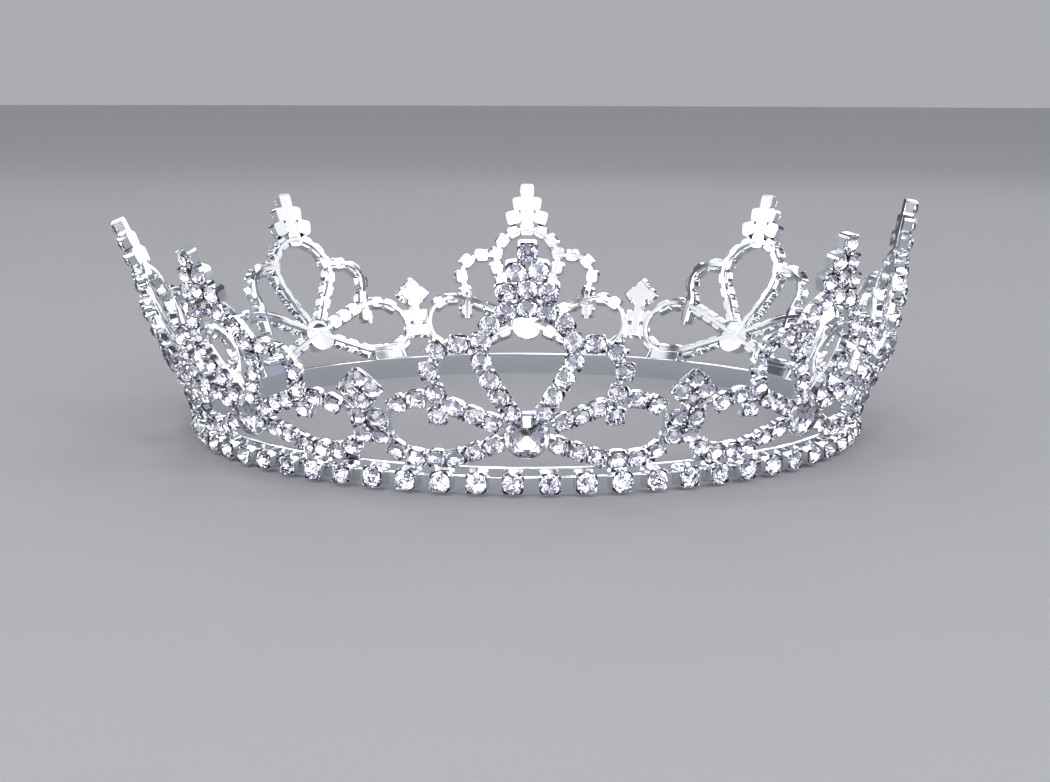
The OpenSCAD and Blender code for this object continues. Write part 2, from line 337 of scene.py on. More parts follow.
class CrownSizes(bpy.types.PropertyGroup):
    strip_w: FloatProperty(
        name="Strip width", description="Width of the smooth metal strips",
        default=2.3 * MM, unit="LENGTH")
    strip_t: FloatProperty(
        name="Strip thickness", description="Thickness of the smooth metal strips",
        default=0.7 * MM, unit="LENGTH")
    cup_w: FloatProperty(
        name="Cup width", description="Width of a square cup on a peak",
        default=3.1 * MM, unit="LENGTH")
    stone_r: FloatProperty(
        name="Stone radius", description="Radius of a stone on a peak",
        default=1.5 * MM, unit="LENGTH")
    band_cup_w: FloatProperty(
        name="Band cup width", description="Width of a square cup on the band",
        default=3.5 * MM, unit="LENGTH")
    band_stone_r: FloatProperty(
        name="Band stone radius", description="Radius of a stone on the band",
        default=1.66 * MM, unit="LENGTH")
    big_stone_r: FloatProperty(
        name="Big stone radius", description="Radius of the round stone of a peak",
        default=3.55 * MM, unit="LENGTH")
    big_setting_r: FloatProperty(
        name="Big setting radius", description="Outer radius of its round setting",
        default=3.5 * MM, unit="LENGTH")
    band_in_r: FloatProperty(
        name="Band radius", description="Inner radius of the plain band",
        default=58.9 * MM, unit="LENGTH")
    band_wall: FloatProperty(
        name="Band wall", description="Thickness of the plain band",
        default=0.8 * MM, unit="LENGTH")
    band_stones: IntProperty(
        name="Stones on the band", description="How many cups stand round the band",
        default=67, min=12)
    band_first: FloatProperty(
        name="First band stone", description="Turn from the front to the first cup",
        default=math.radians(3.4), unit="ROTATION")


class CrownColours(bpy.types.PropertyGroup):
    silver: FloatVectorProperty(
        name="Silver", description="Colour of the plated metal",
        default=(0.84, 0.89, 0.97), subtype="COLOR")
    silver_dull: FloatVectorProperty(
        name="Dull silver", description="Colour of the metal where it is less bright",
        default=(0.62, 0.67, 0.79), subtype="COLOR")
    crystal: FloatVectorProperty(
        name="Crystal", description="Colour of the clear glass",
        default=(0.97, 0.975, 1.0), subtype="COLOR")
    crystal_violet: FloatVectorProperty(
        name="Violet crystal", description="Faint tint in some of the stones",
        default=(0.86, 0.84, 1.0), subtype="COLOR")
    foil: FloatVectorProperty(
        name="Foil", description="Colour of the silver foil behind a stone",
        default=(0.97, 0.97, 1.0), subtype="COLOR")
    # Painted half shade: the lilac of the foil's half lit painted flashes, for facets that catch
    # half the light
    foil_painted_half_shade: FloatVectorProperty(
        name="Lilac foil", description="Colour of the foil in its half lit flashes",
        default=(0.60, 0.57, 0.76), subtype="COLOR")
    # Painted shade: the foil's darkest painted flashes, for facets that catch no light
    foil_painted_shade: FloatVectorProperty(
        name="Dark foil", description="Colour of the foil in its darkest flashes",
        default=(0.10, 0.10, 0.14), subtype="COLOR")
    floor: FloatVectorProperty(
        name="Floor", description="Colour of the plain pale floor",
        default=(0.34, 0.345, 0.36), subtype="COLOR")
    backdrop: FloatVectorProperty(
        name="Backdrop", description="Colour of the plain wall behind the floor",
        default=(0.41, 0.42, 0.44), subtype="COLOR")


def sizes():
    return bpy.context.scene.crown_sizes


def colours():
    return bpy.context.scene.crown_colours


# The peak's face

def face_lean(lean, v):
    """The face's lean at v. Round the bend it turns from the lower lean to the upper."""
    share = min(1.0, max(0.0, (v - BEND_V) / BEND_SPAN + 0.5))
    return LOW_LEAN + (lean - LOW_LEAN) * share


def face_point(lean, v):
    """Radius and height of the face's inner side at v."""
    low, high = min(v, BEND_V), max(0.0, v - BEND_V)
    return (HINGE_R + low * math.sin(LOW_LEAN) + high * math.sin(lean),
            HINGE_Z + low * math.cos(LOW_LEAN) + high * math.cos(lean))


def face_turn(lean, u, v):
    return math.asin(u / (face_point(lean, v)[0] + FACE_D * math.cos(LOW_LEAN)))


def risen(v, rise):
    """Where v of the drawing lies on a peak that is longer than the drawing by its rise."""
    return v + rise * min(1.0, max(0.0, (v - RISE_FROM) / (RISE_TO - RISE_FROM)))


def seat(turn, form, u, v, spin=0.0, tip=(0.0, 0.0)):
    """The matrix that stands a piece on the face, its Z outwards, in metres."""
    lean, v = form[0], risen(v, form[1])
    radius, height = face_point(lean, v)
    return (Matrix.Scale(MM, 4)
            @ Matrix.Rotation(turn + face_turn(lean, u, v), 4, "Z")
            @ Matrix.Translation((0, -radius, height))
            @ Matrix.Rotation(math.pi / 2 + face_lean(lean, v), 4, "X")
            @ Matrix.Rotation(spin, 4, "Z")
            @ Matrix.Rotation(tip[0], 4, "X")
            @ Matrix.Rotation(tip[1], 4, "Y"))


def lay_on_face(mesh, turn, form):
    """Bends a flat mesh, drawn with X as u, Y as v and Z as depth, onto a peak's face."""
    lean = form[0]
    for vertex in mesh.vertices:
        u, v, depth = vertex.co
        v = risen(v, form[1])
        radius, height = face_point(lean, v)
        tilt = face_lean(lean, v)
        angle = turn + face_turn(lean, u, v)
        radius += depth * math.cos(tilt)
        vertex.co = Vector((radius * math.sin(angle), -radius * math.cos(angle),
                            height - depth * math.sin(tilt))) * MM


# Paths in the drawing

def arc(centre, start, end, count):
    """Points on an arc. Its centre is u, v and radius, its ends are in degrees."""
    centre_u, centre_v, radius = centre
    return [(centre_u + radius * math.cos(math.radians(start + (end - start) * i / count)),
             centre_v + radius * math.sin(math.radians(start + (end - start) * i / count)))
            for i in range(count + 1)]


def walk(path, distance):
    """The point and heading of a path at a distance from its start."""
    for i in range(len(path) - 1):
        step = Vector(path[i + 1]) - Vector(path[i])
        if distance <= step.length or i == len(path) - 2:
            point = Vector(path[i]) + step.normalized() * distance
            return point.x, point.y, math.atan2(step.y, step.x)
        distance -= step.length


def path_length(path):
    return sum((Vector(b) - Vector(a)).length for a, b in zip(path, path[1:]))


def even_path(path, gap):
    """The path again, in even steps and with its corners eased."""
    count = max(2, round(path_length(path) / gap))
    points = [walk(path, path_length(path) * i / count)[:2] for i in range(count + 1)]
    for _ in range(2):
        eased = [points[0]]
        for before, here, after in zip(points, points[1:], points[2:]):
            eased.append(tuple(0.25 * a + 0.5 * b + 0.25 * c
                               for a, b, c in zip(before, here, after)))
        points = eased + [points[-1]]
    return points


def tear_path():
    foot = math.degrees(math.asin(TEAR_R / (TEAR_V - TEAR_FOOT_V)))
    return [(0.0, TEAR_FOOT_V)] + arc((0, TEAR_V, TEAR_R), -foot, TEAR_TOP, 30)


def leaf_path(strand):
    """One strand of the right leaf loop."""
    start, root_turn, end_turn = strand
    return [start] + arc(LEAF_ROOT, *root_turn, 3) + arc(LEAF_END, *end_turn, 24)


def ear_path():
    return [*EAR_START, *arc(EAR_ARC, *EAR_ARC_TURN, 24), EAR_END]


def peak_cups():
    """Place of each cup of a peak: u, v, turn in radians."""
    tear, low, up, ear = tear_path(), leaf_path(LEAF_LOW), leaf_path(LEAF_UP), ear_path()
    foot = math.asin(TEAR_R / (TEAR_V - TEAR_FOOT_V))
    line = math.sqrt((TEAR_V - TEAR_FOOT_V) ** 2 - TEAR_R ** 2)
    step = (line + TEAR_R * (math.pi / 2 + foot) - TEAR_FIRST) / TEAR_SIDE_N
    right = [walk(tear, TEAR_FIRST + i * step) for i in range(TEAR_SIDE_N)]
    right += [walk(low, LEAF_LOW_FIRST + i * LEAF_LOW_STEP) for i in LEAF_LOW_STEPS]
    right += [walk(up, LEAF_UP_FIRST + i * LEAF_UP_STEP) for i in LEAF_UP_STEPS]
    right += [walk(ear, stop) for stop in EAR_STOPS]
    left = [(-u, v, -turn) for u, v, turn in right]
    return right + left


def finial_cups():
    return [(u, v, math.radians(turn)) for u, v, turn in FINIAL_CUPS]


# Modelling by hand

def add(operator, **place):
    """Adds a primitive with nothing else selected, and gives its object."""
    bpy.ops.object.select_all(action="DESELECT")
    operator(**place)
    bpy.ops.object.transform_apply(location=True, rotation=True, scale=True)
    return bpy.context.object


def edit(obj):
    bpy.ops.object.select_all(action="DESELECT")
    bpy.context.view_layer.objects.active = obj
    obj.select_set(True)
    bpy.ops.object.mode_set(mode="EDIT")


def done():
    bpy.ops.object.mode_set(mode="OBJECT")


def pick(kind, test):
    """Selects the faces or edges of the mesh in edit mode that the test says."""
    bpy.ops.mesh.select_all(action="DESELECT")
    bpy.ops.mesh.select_mode(type=kind)
    mesh = bmesh.from_edit_mesh(bpy.context.object.data)
    for part in (mesh.faces if kind == "FACE" else mesh.edges):
        if test(part):
            part.select_set(True)
    mesh.select_flush_mode()
    bmesh.update_edit_mesh(bpy.context.object.data)


def middle(part):
    return sum((v.co for v in part.verts), Vector()) / len(part.verts)


def extrude(x=0.0, y=0.0, z=0.0):
    bpy.ops.mesh.extrude_region_move(TRANSFORM_OT_translate={"value": (x, y, z)})


def face_outwards(obj):
    edit(obj)
    bpy.ops.mesh.select_all(action="SELECT")
    bpy.ops.mesh.normals_make_consistent(inside=False)
    done()


def apply_modifier(obj, kind, **values):
    bpy.context.view_layer.objects.active = obj
    modifier = obj.modifiers.new(kind.title(), kind)
    for name, value in values.items():
        setattr(modifier, name, value)
    bpy.ops.object.modifier_apply(modifier=modifier.name)


def copies(source, places):
    """One object for each place, each with its own copy of the source's mesh."""
    made = []
    for place in places:
        mesh = source.data.copy()
        mesh.transform(place)
        obj = bpy.data.objects.new(source.name, mesh)
        bpy.context.collection.objects.link(obj)
        made.append(obj)
    return made


def join(name, parts):
    bpy.ops.object.select_all(action="DESELECT")
    for part in parts:
        part.select_set(True)
    bpy.context.view_layer.objects.active = parts[0]
    if len(parts) > 1:
        bpy.ops.object.join()
    parts[0].name = name
    parts[0].data.name = name
    return parts[0]


def scrap(*objs):
    for obj in objs:
        bpy.data.objects.remove(obj)


def finish_metal(obj, *nodes):
    bpy.ops.object.select_all(action="DESELECT")
    obj.select_set(True)
    bpy.context.view_layer.objects.active = obj
    bpy.ops.object.shade_smooth_by_angle(angle=SMOOTH_BELOW)
    obj.data.materials.append(silver_metal())
    keep(obj, "silver_metal", *nodes)


def keep(obj, slot, *nodes):
    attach(obj, "root")
    if nodes:
        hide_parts(*nodes)


# Pieces modelled once

def model_ribbon(path, inset, width, thick):
    """A flat strip with eased edges, drawn along a path by extruding its section."""
    points = even_path(path, PATH_STEP)
    depth = thick / 2
    headings = [math.atan2(b[1] - a[1], b[0] - a[0])
                for a, b in zip(points[:1] + points[:-2] + points[-2:-1],
                                points[1:2] + points[2:] + points[-1:])]
    start = points[0]
    ribbon = add(bpy.ops.mesh.primitive_plane_add, size=1.0,
                 location=(start[0], start[1], depth),
                 rotation=(math.pi / 2, 0, headings[0] + math.pi / 2),
                 scale=(width, thick - 2 * inset, 1))
    edit(ribbon)
    bpy.ops.mesh.select_all(action="SELECT")
    bpy.ops.mesh.bevel(offset=STRIP_EDGE, segments=2, affect="VERTICES")
    for i in range(1, len(points)):
        here, last = points[i], points[i - 1]
        extrude(here[0] - last[0], here[1] - last[1])
        bpy.ops.transform.rotate(value=headings[i - 1] - headings[i], orient_axis="Z",
                                 center_override=(here[0], here[1], depth))
    done()
    face_outwards(ribbon)
    return ribbon


def model_hoop(radius, low, height, wall):
    """A thin hoop with eased edges, in metres. The radius is its outer one."""
    hoop = add(bpy.ops.mesh.primitive_cylinder_add, vertices=HOOP_SIDES, radius=radius,
               depth=height, end_fill_type="NOTHING", location=(0, 0, low + height / 2))
    apply_modifier(hoop, "SOLIDIFY", thickness=wall, offset=-1.0)
    apply_modifier(hoop, "BEVEL", width=HOOP_EDGE, segments=2, limit_method="ANGLE",
                   angle_limit=HOOP_SHARP)
    hoop.data.transform(Matrix.Scale(MM, 4))
    return hoop


def model_plate(row, outer):
    """A flat plate out to a depth, cut across at each millimetre to follow the face."""
    left, right, low, high, inner = row
    plate = add(bpy.ops.mesh.primitive_cube_add, size=1.0,
                location=((left + right) / 2, (low + high) / 2, (inner + outer) / 2),
                scale=(right - left, high - low, outer - inner))
    apply_modifier(plate, "BEVEL", width=STRIP_EDGE, segments=2)
    edit(plate)
    cuts = int(right - left)
    for i in range(1, cuts):
        bpy.ops.mesh.select_all(action="SELECT")
        bpy.ops.mesh.bisect(plane_co=(left + (right - left) * i / cuts, 0, 0),
                            plane_no=(1, 0, 0), threshold=1e-5)
    done()
    return plate


def model_flat_peak(size):
    """The strips of a whole peak, still flat."""
    width, thick = size.strip_w / MM, size.strip_t / MM
    strands = [
        model_ribbon(tear_path(), 0.0, width, thick),
        model_ribbon(leaf_path(LEAF_LOW), LEAF_LOW_INSET, width, thick),
        model_ribbon(leaf_path(LEAF_UP), LEAF_UP_INSET, width, thick),
        model_ribbon(ear_path(), EAR_INSET, width, thick),
        model_plate(SOLE, thick),
    ]
    flat = join("flat_peak", strands)
    apply_modifier(flat, "MIRROR", use_axis=(True, False, False), use_mirror_merge=False)
    plates = [model_plate(row, thick) for row in FINIAL_STRIPS]
    flat = join("flat_peak", [flat] + plates)
    face_outwards(flat)
    return flat


def model_cup(width, back, rim, claw, foot=CUP_FOOT):
    """A square cup with rounded corners, a sunk floor and a claw at each corner.

    Its back is narrower than its rim, by the share that foot says."""
    half = width / 2
    cup = add(bpy.ops.mesh.primitive_cube_add, size=1.0, location=(0, 0, (back + rim) / 2),
              scale=(width, width, rim - back))
    edit(cup)
    pick("EDGE", lambda e: abs(e.verts[0].co.z - e.verts[1].co.z) > 0.5 * (rim - back))
    bpy.ops.mesh.bevel(offset=CUP_CORNER * width, segments=2)
    pick("FACE", lambda f: f.normal.z < -LEVEL)
    bpy.ops.transform.resize(value=(foot, foot, 1), center_override=(0, 0, 0))
    pick("FACE", lambda f: f.normal.z > LEVEL)
    bpy.ops.mesh.inset(thickness=CUP_LIP * width)
    extrude(z=CUP_FLOOR - (rim - back))
    bpy.ops.transform.resize(value=(CUP_POCKET, CUP_POCKET, 1), center_override=(0, 0, 0))
    for side_x in (-1, 1):
        for side_y in (-1, 1):
            def at_corner(face):
                spot = middle(face)
                return (face.normal.z > LEVEL and abs(spot.z - rim) < NEAR
                        and spot.x * side_x > CORNER_FROM * half
                        and spot.y * side_y > CORNER_FROM * half)
            corner = (CLAW_SPOT * side_x * width, CLAW_SPOT * side_y * width, 0)
            pick("FACE", at_corner)
            for (share, narrow), lean in zip(CLAW_STEPS, (0, CLAW_LEAN)):
                extrude(-lean * side_x * width, -lean * side_y * width, share * claw)
                bpy.ops.transform.resize(value=(narrow, narrow, 1), center_override=corner)
    done()
    face_outwards(cup)
    return cup


def cut_facet(radius, height, slope, angle, up):
    """Grinds one facet: it leans by slope and passes through a point at that radius."""
    bpy.ops.mesh.select_all(action="SELECT")
    side = Vector((math.cos(angle), math.sin(angle), 0))
    normal = side * math.sin(slope) + Vector((0, 0, up * math.cos(slope)))
    bpy.ops.mesh.bisect(plane_co=side * radius + Vector((0, 0, height)), plane_no=normal,
                        use_fill=True, clear_outer=True, threshold=1e-5)


def model_stone(radius, girdle, crown_slope, foot, rich=False):
    """A round brilliant. Girdle is its depth, foot the share of the radius below it.

    A shallow stone gets an inner ring of facets round its back, and a rich one has a wider
    table, a smoother girdle and a calmer foil: larger painted flashes, fewer of them painted
    dark as painted shade."""
    belt = BELT * radius
    table_r = (RICH_TABLE if rich else TABLE) * radius
    table_h = (radius - table_r) * math.tan(crown_slope * TABLE_SLOPE) + belt
    foot_h = foot * radius
    stone = add(bpy.ops.mesh.primitive_cylinder_add,
                vertices=RICH_SIDES if rich else STONE_SIDES,
                radius=radius, depth=table_h + foot_h,
                location=(0, 0, girdle + (table_h - foot_h) / 2))
    edit(stone)
    inner_r, inner_d, inner_slope = INNER_CUTS
    for k in range(STONE_CUTS):
        angle = math.tau * k / STONE_CUTS
        half = angle + math.pi / STONE_CUTS
        cut_facet(radius, girdle + belt, crown_slope, angle, 1)
        cut_facet(table_r * STAR_REACH, girdle + table_h, crown_slope * STAR_SLOPE, half, 1)
        cut_facet(radius, girdle - belt, PAVILION_SLOPE, angle, -1)
        cut_facet(radius, girdle - belt, PAVILION_HALF_SLOPE, half, -1)
        for quarter in (-0.5, 0.5):
            cut_facet(radius, girdle + belt, crown_slope * RIM_SLOPE,
                      angle + quarter * math.pi / STONE_CUTS, 1)
        if foot < BAND_STONE_FOOT:
            cut_facet(inner_r * radius, girdle - inner_d * radius, inner_slope, half, -1)
    done()
    foil_below(stone, girdle + belt * 0.5, silver_foil_painted_flashes(*(RICH_FOIL_PAINTED_FLASHES if rich else FOIL_PAINTED_FLASHES)))
    return stone


def foil_below(stone, height, foil):
    """Marks the faces below a height for the foil, which is the second slot."""
    stone.data.materials.append(clear_glass())
    stone.data.materials.append(foil)
    for face in stone.data.polygons:
        face.material_index = 1 if face.center.z < height else 0


def model_setting(size):
    """The round setting of a big stone: a plain disc behind, a rim, claws and a tab.

    The rim tips forward on the face, and the disc behind stays flat on it."""
    radius, rim = size.big_setting_r / MM, BIG_RIM
    setting = add(bpy.ops.mesh.primitive_cylinder_add, vertices=SETTING_SIDES,
                  radius=radius, depth=rim, location=(0, 0, rim / 2))
    edit(setting)
    pick("FACE", lambda f: f.normal.z > LEVEL)
    bpy.ops.mesh.inset(thickness=SETTING_LIP)
    extrude(z=-SETTING_POCKET_D)
    bpy.ops.transform.resize(value=(SETTING_POCKET, SETTING_POCKET, 1),
                             center_override=(0, 0, 0))
    pick("EDGE", lambda e: abs(middle(e).z) < 1e-4
         and all(abs(v.co.to_2d().length - radius) < NEAR for v in e.verts))
    bpy.ops.mesh.bevel(offset=SETTING_EDGE, segments=3)
    pick("FACE", lambda f: all(v.co.z < SETTING_EDGE - 1e-4 for v in f.verts))
    bpy.ops.transform.rotate(value=BIG_TIP, orient_axis="X", center_override=(0, 0, 0))
    bpy.ops.transform.translate(value=(0, 0, -DISC_SUNK))
    for angle in (-math.pi / 4, -3 * math.pi / 4):
        side = Vector((math.cos(angle), math.sin(angle)))

        def on_rim(face):
            spot = middle(face)
            return (face.normal.z > LEVEL and abs(spot.z - rim) < NEAR
                    and spot.to_2d().normalized().dot(side) > 0.99)
        pick("FACE", on_rim)
        for rise, lean in SETTING_CLAW_STEPS:
            extrude(-side.x * lean, -side.y * lean, rise)
    done()
    return join("setting", [setting, model_tab(radius, rim)])


def model_tab(radius, rim):
    """The wide prong at the top of the setting, folded down over the stone."""
    tab = add(bpy.ops.mesh.primitive_cube_add, size=1.0,
              location=(0, radius + TAB_OUT, rim - TAB_IN), scale=(TAB_W, TAB_T, 1.0))
    edit(tab)
    pick("FACE", lambda f: f.normal.z > LEVEL)
    for step, turn_share, narrow in TAB_STEPS:
        chosen = [f for f in bmesh.from_edit_mesh(tab.data).faces if f.select]
        normal = chosen[0].normal.copy()
        extrude(0, normal.y * step, normal.z * step)
        spot = middle([f for f in bmesh.from_edit_mesh(tab.data).faces if f.select][0])
        if turn_share:
            bpy.ops.transform.rotate(value=-TAB_TURN * turn_share, orient_axis="X",
                                     center_override=spot)
        bpy.ops.transform.resize(value=(narrow, 1, 1), center_override=spot)
    done()
    apply_modifier(tab, "BEVEL", width=TAB_EDGE, segments=2)
    face_outwards(tab)
    return tab


# Materials

def new_material(name):
    material = bpy.data.materials.new(name)
    material.use_nodes = True
    return material, material.node_tree, material.node_tree.nodes["Principled BSDF"]


def add_noise(tree, scale, detail):
    coords = tree.nodes.new("ShaderNodeTexCoord")
    texture = tree.nodes.new("ShaderNodeTexNoise")
    texture.inputs["Scale"].default_value = scale
    texture.inputs["Detail"].default_value = detail
    tree.links.new(coords.outputs["Object"], texture.inputs["Vector"])
    return texture.outputs["Fac"]


def add_cells(tree, scale, coords):
    """Cells that each have random values of their own, as red, green and blue."""
    source = tree.nodes.new("ShaderNodeTexCoord")
    cells = tree.nodes.new("ShaderNodeTexVoronoi")
    cells.inputs["Scale"].default_value = scale
    tree.links.new(source.outputs[coords], cells.inputs["Vector"])
    values = tree.nodes.new("ShaderNodeSeparateColor")
    tree.links.new(cells.outputs["Color"], values.inputs["Color"])
    return values.outputs


def add_range(tree, source, low, high, from_low=0.0, from_high=1.0):
    span = tree.nodes.new("ShaderNodeMapRange")
    for name, value in (("From Min", from_low), ("From Max", from_high),
                        ("To Min", low), ("To Max", high)):
        span.inputs[name].default_value = value
    tree.links.new(source, span.inputs["Value"])
    return span.outputs["Result"]


def add_ramp(tree, source, stops, sharp=False):
    ramp = tree.nodes.new("ShaderNodeValToRGB")
    if sharp:
        ramp.color_ramp.interpolation = "CONSTANT"
    first, last = ramp.color_ramp.elements
    first.position, first.color = stops[0][0], (*stops[0][1], 1)
    last.position, last.color = stops[-1][0], (*stops[-1][1], 1)
    for position, colour in stops[1:-1]:
        ramp.color_ramp.elements.new(position).color = (*colour, 1)
    tree.links.new(source, ramp.inputs["Fac"])
    return ramp.outputs["Color"]


def silver_metal():
    """Bright plated metal with faint clouding, uneven gloss and soft dents."""
    if "silver_metal" in bpy.data.materials:
        return bpy.data.materials["silver_metal"]
    material, tree, shader = new_material("silver_metal")
    shade = colours()
    clouds = add_noise(tree, *METAL_CLOUDS)
    dull, bright = METAL_TINT
    tint = add_ramp(tree, clouds, ((dull, shade.silver_dull), (bright, shade.silver)))
    tree.links.new(tint, shader.inputs["Base Color"])
    gloss = add_range(tree, add_noise(tree, *METAL_SMEARS), *METAL_ROUGH, *METAL_GLOSS)
    tree.links.new(gloss, shader.inputs["Roughness"])
    bump = tree.nodes.new("ShaderNodeBump")
    bump.inputs["Strength"].default_value = DENT_STRENGTH
    bump.inputs["Distance"].default_value = DENT_DEPTH
    tree.links.new(add_noise(tree, *METAL_DENTS), bump.inputs["Height"])
    tree.links.new(bump.outputs["Normal"], shader.inputs["Normal"])
    shader.inputs["Metallic"].default_value = 1.0
    return material


def clear_glass():
    """The crown of a stone: clear glass, with a violet tint that drifts from cup to cup."""
    if "clear_glass" in bpy.data.materials:
        return bpy.data.materials["clear_glass"]
    material, tree, shader = new_material("clear_glass")
    shade = colours()
    drift = add_noise(tree, *GLASS_DRIFT)
    clear, violet = GLASS_TINT
    tint = add_ramp(tree, drift, ((clear, shade.crystal), (violet, shade.crystal_violet)))
    tree.links.new(tint, shader.inputs["Base Color"])
    shader.inputs["Transmission Weight"].default_value = 1.0
    shader.inputs["Roughness"].default_value = 0.0
    shader.inputs["IOR"].default_value = GLASS_IOR
    return material


def silver_foil_painted_flashes(scale, painted_shade_share):
    """The foil behind a stone, in small painted flashes: a given share of them painted dark as
    painted shade, the next share lilac as painted half shade, and the rest in the foil's own
    colour.
    """
    name = f"silver_foil_painted_flashes_{scale}"
    if name in bpy.data.materials:
        return bpy.data.materials[name]
    material, tree, shader = new_material(name)
    shade = colours()
    painted_flashes = add_cells(tree, scale, "Object")
    # Painted shade in the dark cells and painted half shade in the lilac ones, for facets that
    # catch no light and half the light; the other cells keep the foil's own colour
    tint = add_ramp(tree, painted_flashes["Red"],
                    ((0.0, shade.foil_painted_shade), (painted_shade_share, shade.foil_painted_half_shade),
                     (painted_shade_share + PAINTED_HALF_SHADE_SHARE, shade.foil), (1.0, shade.foil)), sharp=True)
    tree.links.new(tint, shader.inputs["Base Color"])
    gloss = add_range(tree, painted_flashes["Green"], *FOIL_ROUGH)
    tree.links.new(gloss, shader.inputs["Roughness"])
    shader.inputs["Metallic"].default_value = 1.0
    return material


def pale_floor():
    """Plain pale card."""
    material, tree, shader = new_material("pale_floor")
    shade = colours()
    grain = add_noise(tree, *FLOOR_GRAIN)
    tint = add_ramp(tree, grain,
                    ((0.0, tuple(FLOOR_SHADE * c for c in shade.floor)), (1.0, shade.floor)))
    tree.links.new(tint, shader.inputs["Base Color"])
    shader.inputs["Roughness"].default_value = 1.0
    shader.inputs["Specular IOR Level"].default_value = 0.0
    return material


# Operators

def jitter(rng, amount):
    return tuple(math.radians(rng.uniform(-amount, amount)) for _ in range(2))


class CROWN_OT_band(bpy.types.Operator):
    """Models the plain band, its link bar, and the cups and stones round it"""
    bl_idname = "crown.band"
    bl_label = "Band"

    def execute(self, context):
        size = sizes()
        wall = size.band_wall / MM
        outer = size.band_in_r / MM + wall
        ring = model_hoop(outer, 0.0, BAND_H, wall)
        bar = model_hoop(outer + BAR_OUT, BAR_LOW, BAR_H, BAR_T)
        rim = BAND_CUP_OUT_R - BAND_RIM_IN
        cup = model_cup(size.band_cup_w / MM, outer - BAND_CUP_SUNK, rim, BAND_CLAW)
        stone = model_stone(size.band_stone_r / MM, rim + BAND_GIRDLE, BAND_CROWN_SLOPE,
                            BAND_STONE_FOOT)
        rng = random.Random(BAND_SEED)
        cup_places, stone_places = [], []
        for i in range(size.band_stones):
            turn = size.band_first + math.tau * i / size.band_stones
            stand = (Matrix.Scale(MM, 4) @ Matrix.Rotation(turn, 4, "Z")
                     @ Matrix.Translation((0, 0, BAND_CUP_Z))
                     @ Matrix.Rotation(math.pi / 2, 4, "X"))
            cup_places.append(stand)
            spin = rng.uniform(0, math.tau)
            tip = jitter(rng, STONE_JITTER)
            swing = (Matrix.Translation((0, 0, rim)) @ Matrix.Rotation(spin, 4, "Z")
                     @ Matrix.Rotation(tip[0], 4, "X") @ Matrix.Translation((0, 0, -rim)))
            stone_places.append(stand @ swing)
        metal = join("band_metal", [ring, bar] + copies(cup, cup_places))
        finish_metal(metal, "band")
        stones = join("band_crystals", copies(stone, stone_places))
        keep(stones, "clear_stone", "band_stones")
        scrap(cup, stone)
        return {"FINISHED"}


class CROWN_OT_peaks(bpy.types.Operator):
    """Models the eight peaks: strips, cups, stones and the big round stone"""
    bl_idname = "crown.peaks"
    bl_label = "Peaks"

    def execute(self, context):
        size = sizes()
        flat = model_flat_peak(size)
        cup = model_cup(size.cup_w / MM, CUP_BACK, CUP_RIM, CLAW)
        stone = model_stone(size.stone_r / MM, GIRDLE_D, PEAK_CROWN_SLOPE, PEAK_STONE_FOOT)
        setting = model_setting(size)
        big = model_stone(size.big_stone_r / MM, BIG_GIRDLE_D, BIG_CROWN_SLOPE,
                          BIG_STONE_FOOT, rich=True)
        top_cup = model_cup(size.cup_w / MM, FINIAL_CUP_BACK, CUP_RIM, CLAW, FINIAL_CUP_FOOT)
        for k in range(PEAKS):
            turn, form = k * TURN, (math.radians(PEAK_FORMS[k][0]), PEAK_FORMS[k][1])
            rng = random.Random(PEAK_SEED + k)
            strips = copies(flat, [Matrix.Identity(4)])[0]
            lay_on_face(strips.data, turn, form)
            metal_parts, stone_places = [strips], []
            for model, cups in ((cup, peak_cups()), (top_cup, finial_cups())):
                for u, v, spin in cups:
                    tip = jitter(rng, CUP_JITTER)
                    metal_parts += copies(model, [seat(turn, form, u, v, spin, tip)])
                    stone_places.append(seat(turn, form, u, v, rng.uniform(0, math.tau),
                                             jitter(rng, STONE_JITTER)))
            big_place = seat(turn, form, 0, BIG_V, 0.0, (BIG_TIP, 0.0))
            metal = join(f"peak_metal_{k + 1}", metal_parts + copies(setting, [big_place]))
            finish_metal(metal, f"peak_{k + 1}")
            stones = join(f"peak_crystals_{k + 1}", copies(stone, stone_places))
            keep(stones, "clear_stone", f"peak_stones_{k + 1}")
            gem = join(f"big_crystal_{k + 1}", copies(big, [big_place]))
            keep(gem, "clear_stone", f"big_stone_{k + 1}")
        scrap(flat, cup, top_cup, stone, setting, big)
        return {"FINISHED"}


